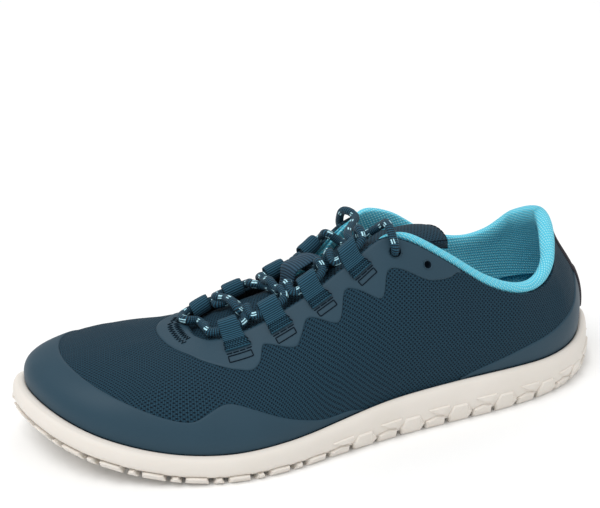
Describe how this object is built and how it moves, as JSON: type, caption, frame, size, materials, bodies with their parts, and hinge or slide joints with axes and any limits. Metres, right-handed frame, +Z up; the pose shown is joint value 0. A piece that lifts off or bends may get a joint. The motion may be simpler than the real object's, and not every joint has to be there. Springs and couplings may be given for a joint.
{
  "type": "barefoot shoe",
  "caption": "Left low-cut barefoot sports shoe: thin flexible rubber sole, knit upper with film overlays, padded collar, quick lacing through webbing loops.",
  "frame": {"origin": "on the floor, under the middle of the shoe's box", "axes": "+Z up from the floor; +Y towards the heel, -Y towards the toe; +X towards the outer side of the left foot"},
  "size_m": [0.106, 0.2888, 0.0931],
  "materials": {
    "rubber": "matt off-white rubber",
    "insole_foam": "cloth-covered foam",
    "mesh": "fine navy mesh",
    "tongue_cloth": "padded navy mesh",
    "film": "matt blue-grey film",
    "heel_tape_cloth": "ribbed dark tape",
    "lining_knit": "light-blue rib knit",
    "webbing": "ribbed teal webbing",
    "lace_cord": "round braided teal lace with pale flecks"
  },
  "bodies": {
    "root": {"sole": "rubber", "insole": "insole_foam", "upper": "mesh", "tongue": "tongue_cloth", "toe_guard": "film", "eyestay": "film", "heel_counter": "film", "heel_tape": "heel_tape_cloth", "collar_lining": "lining_knit", "tongue_keeper": "webbing", "lace": "lace_cord", "lace_loop_outer_1": "webbing", "lace_loop_inner_1": "webbing", "lace_loop_outer_2": "webbing", "lace_loop_inner_2": "webbing", "lace_loop_outer_3": "webbing", "lace_loop_inner_3": "webbing", "lace_loop_outer_4": "webbing", "lace_loop_inner_4": "webbing"}
  },
  "joints": []
}
